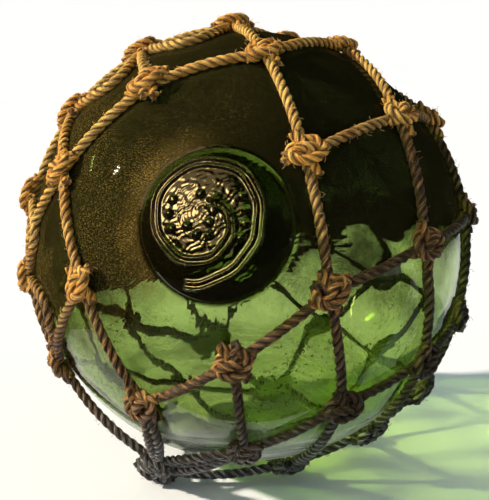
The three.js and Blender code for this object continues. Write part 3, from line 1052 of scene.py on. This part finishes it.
def ripple_rise(ways):
    """Ripples that wander round the stamp's middle, and uneven dimples between the beads."""
    axis = direction(STAMP_TURN, STAMP_RISE)
    right, up = axes_about(axis)
    far = np.arccos(np.clip(ways @ axis, -1, 1)) * BALL_RADIUS
    turn = np.arctan2(ways @ up, ways @ right)
    wander = WANDER * np.sin(turn * WANDER_ARMS + far / WANDER_STEP)
    ripple = np.sin(far / RIPPLE_STEP * math.tau + turn * RIPPLE_ARMS + wander) * RIPPLE_HEIGHT
    dimple = np.ones(len(ways))
    for wave, bend in DIMPLE_WAVES:
        dimple *= np.sin(ways @ np.array(wave) + DIMPLE_BEND * np.sin(ways @ np.array(bend)))
    rise = ripple * np.clip((RIPPLE_REACH - far) / RIPPLE_FADE, 0, 1)
    return rise + dimple * DIMPLE_HEIGHT * np.clip((DIMPLE_REACH - far) / DIMPLE_FADE, DIMPLE_LEAST, 1)


def glass_waves(ways):
    """The slow waves of blown glass."""
    first, second = (np.sin(ways @ np.array(wave)) for wave in WAVES)
    return WAVE_HEIGHT * first * second


def skin_ways(around, near_rings, far_rings):
    """Ways from the ball's middle, in rings about the seal's axis, closer together over the button."""
    edge = math.asin(BUTTON_RADIUS / BALL_RADIUS) * NEAR_SHARE
    near = np.linspace(0, edge, near_rings)[1:]
    far = np.linspace(edge, math.pi, far_rings)[1:-1]
    axis = direction(SEAL_TURN, SEAL_RISE)
    right, up = axes_about(axis)
    spin = np.linspace(0, math.tau, around, endpoint=False)
    circle = np.cos(spin)[:, None] * right + np.sin(spin)[:, None] * up
    rings = [math.cos(a) * axis + math.sin(a) * circle for a in (*near, *far)]
    return np.vstack([axis[None, :], *rings, -axis[None, :]])


def skin_faces(around, count):
    """Outward faces between the rings, with a fan at each end."""
    faces = []
    last = 1 + count * around
    for j in range(around):
        k = (j + 1) % around
        faces.append((0, 1 + j, 1 + k))
        faces.append((last, 1 + (count - 1) * around + k, 1 + (count - 1) * around + j))
        for i in range(count - 1):
            a, b = 1 + i * around, 1 + (i + 1) * around
            faces.append((a + j, b + j, b + k, a + k))
    return faces


def skin(steps, heights):
    """A closed skin: its points at the heights that a function gives for each way, and its faces."""
    ways = skin_ways(*steps)
    around = steps[0]
    points = CENTRE + ways * heights(ways)[:, None]
    return points, skin_faces(around, (len(ways) - 2) // around)


def outer_heights(ways):
    relief = ridge_rise(ways) + bead_rise(ways) + ripple_rise(ways)
    return BALL_RADIUS + button_rise(ways) + relief + glass_waves(ways) * OUTER_WAVE


def inner_heights(ways):
    return BALL_RADIUS - WALL + glass_waves(ways) * INNER_WAVE


def glass_ball():
    outer_points, faces = skin(OUTER_STEPS, outer_heights)
    inner_points, inner_faces = skin(INNER_STEPS, inner_heights)
    shift = len(outer_points)
    faces += [tuple(v + shift for v in reversed(face)) for face in inner_faces]
    ball = new_mesh_object("glass_shell", np.vstack([outer_points, inner_points]), [], faces)
    ball.data.shade_smooth()
    ball.data.materials.append(glass_material())
    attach(ball, "root")
    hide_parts("glass_ball")


# Rope net

def finish_rope(piece):
    """Presses a piece of the net flat on the floor, gives it its body, and hides the imported net."""
    for vertex in piece.data.vertices:
        vertex.co.z = max(vertex.co.z, 0.0)
    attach(piece, "root")
    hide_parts("rope_net")


def rope_net():
    rng = np.random.default_rng(KNOT_SEED)
    net = net_graph()
    relax(net)
    cord_rope = rope_material("cord_rope", CORD_FINISH)
    knot_rope = rope_material("knot_rope", KNOT_FINISH)
    knots = range(len(net["places"]))
    groups = {
        "net_cords": ([cord_path(net, a, b) for a, b in net["cords"]] + second_cords(net), cord_rope),
        "net_knots": ([path for knot in knots for path in knot_paths(net, knot, rng)], knot_rope),
        "cut_ends": (tail_paths(net, rng), cord_rope),
    }
    twine, fibres, hair = twine_tree(), fibre_tree(), fibre_material()
    for name, (paths, rope) in groups.items():
        guide = paths_object(name + "_guide", paths)
        piece = twine.bake(guide, name, {"Material": rope})
        bpy.data.objects.remove(guide)
        loose = fibres.bake(piece, name + "_fibres", {"Material": hair})
        finish_rope(piece)
        finish_rope(loose)


# Stage: a pale floor, soft light, and dark surroundings that only the glass sees

def plain_material(name, colour):
    material, nodes = new_material(name)
    surface = nodes.surface(Base_Color=(*colour, 1.0), Roughness=STAGE_ROUGHNESS)
    nodes.make("ShaderNodeOutputMaterial", None, {"Surface": surface})
    return material


def hide_from(piece, *rays):
    """Hides a stage piece from some kinds of ray."""
    for ray in rays:
        setattr(piece, "visible_" + ray, False)


def flat_sheet(name, left, right, front, back, height):
    corners = [(left, front, height), (right, front, height), (right, back, height), (left, back, height)]
    return new_mesh_object(name, corners, [], [(0, 1, 2, 3)])


def add_floor():
    floor = flat_sheet("floor", -FLOOR_REACH, FLOOR_REACH, -FLOOR_REACH, FLOOR_REACH, 0)
    floor.data.materials.append(plain_material("floor", FLOOR_COLOUR))


def add_surroundings():
    """A dark bowl round the floor. The camera and the light pass through it, and the glass shows it."""
    x, y = BOWL_MIDDLE
    turns = [math.tau * i / BOWL_SIDES for i in range(BOWL_SIDES)]
    vertices = [(x + radius * math.cos(a), y + radius * math.sin(a), height)
                for radius, height in BOWL_RINGS for a in turns]
    faces = []
    for i in range(BOWL_SIDES):
        k = (i + 1) % BOWL_SIDES
        faces.append((i, k, BOWL_SIDES + k, BOWL_SIDES + i))
    faces.append(tuple(range(BOWL_SIDES, 2 * BOWL_SIDES)))
    bowl = new_mesh_object("surroundings", vertices, [], faces)
    bowl.data.materials.append(plain_material("surroundings", BOWL_COLOUR))
    hide_from(bowl, "camera", "diffuse", "shadow")


def add_foreground():
    """A dark cloth on the floor before the ball, so that the front of the glass mirrors no white floor."""
    cloth = flat_sheet("foreground", CLOTH_LEFT, CLOTH_RIGHT, CLOTH_FRONT, CLOTH_BACK, CLOTH_HEIGHT)
    cloth.data.materials.append(plain_material("foreground", CLOTH_COLOUR))
    hide_from(cloth, "camera", "diffuse", "transmission", "shadow")


def glow_material(middle):
    """A soft lamp with a bright core, clear at its rim."""
    material, nodes = new_material("glow")
    away = nodes.distance(nodes.place(), tuple(middle))
    whole = nodes.add("ShaderNodeBsdfTransparent")
    for lamp in GLOW_LAMPS:
        light = nodes.add("ShaderNodeEmission", None, {"Color": GLOW_COLOUR, "Strength": lamp["strength"]})
        share = nodes.step(away, GLOW_RADIUS * lamp["from"], GLOW_RADIUS * lamp["to"])
        whole = nodes.blend(share, whole, light)
    nodes.make("ShaderNodeOutputMaterial", None, {"Surface": whole})
    return material


def add_glow():
    """A warm disc that only shows as a soft reflection in the glass."""
    way = direction(*GLOW_WAY)
    middle = CENTRE + GLOW_DISTANCE * way
    right, up = axes_about(way)
    spin = [math.tau * i / GLOW_SIDES for i in range(GLOW_SIDES)]
    rim = [middle + GLOW_RADIUS * (math.cos(a) * right + math.sin(a) * up) for a in spin]
    card = new_mesh_object("glow", rim, [], [tuple(range(GLOW_SIDES))])
    card.data.materials.append(glow_material(middle))
    hide_from(card, "camera", "diffuse", "transmission", "shadow")


def add_sun():
    sun = bpy.data.lights.new("sun", "SUN")
    sun.energy = SUN_ENERGY
    sun.angle = math.radians(SUN_WIDTH)
    sun.color = SUN_COLOUR
    lamp = bpy.data.objects.new("sun", sun)
    lamp.rotation_euler = Vector(direction(*SUN_WAY)).to_track_quat("Z", "Y").to_euler()
    bpy.context.scene.collection.objects.link(lamp)


def add_sky():
    """Soft light from all sides, behind which the camera sees a plain pale backdrop."""
    world = bpy.data.worlds.new("studio")
    world.use_nodes = True
    world.node_tree.nodes.clear()
    nodes = Nodes(world.node_tree)
    is_camera = nodes.add("ShaderNodeLightPath", None, None, "Is Camera Ray")
    soft = nodes.add("ShaderNodeBackground", None, {"Color": SKY_COLOUR, "Strength": SKY_STRENGTH})
    white = nodes.add("ShaderNodeBackground", None, {"Color": BACKDROP_COLOUR, "Strength": BACKDROP_STRENGTH})
    nodes.make("ShaderNodeOutputWorld", None, {"Surface": nodes.blend(is_camera, soft, white)})
    bpy.context.scene.world = world
    bpy.context.scene.view_settings.view_transform = "Standard"


add_camera()
glass_ball()
rope_net()
add_floor()
add_surroundings()
add_foreground()
add_glow()
add_sun()
add_sky()
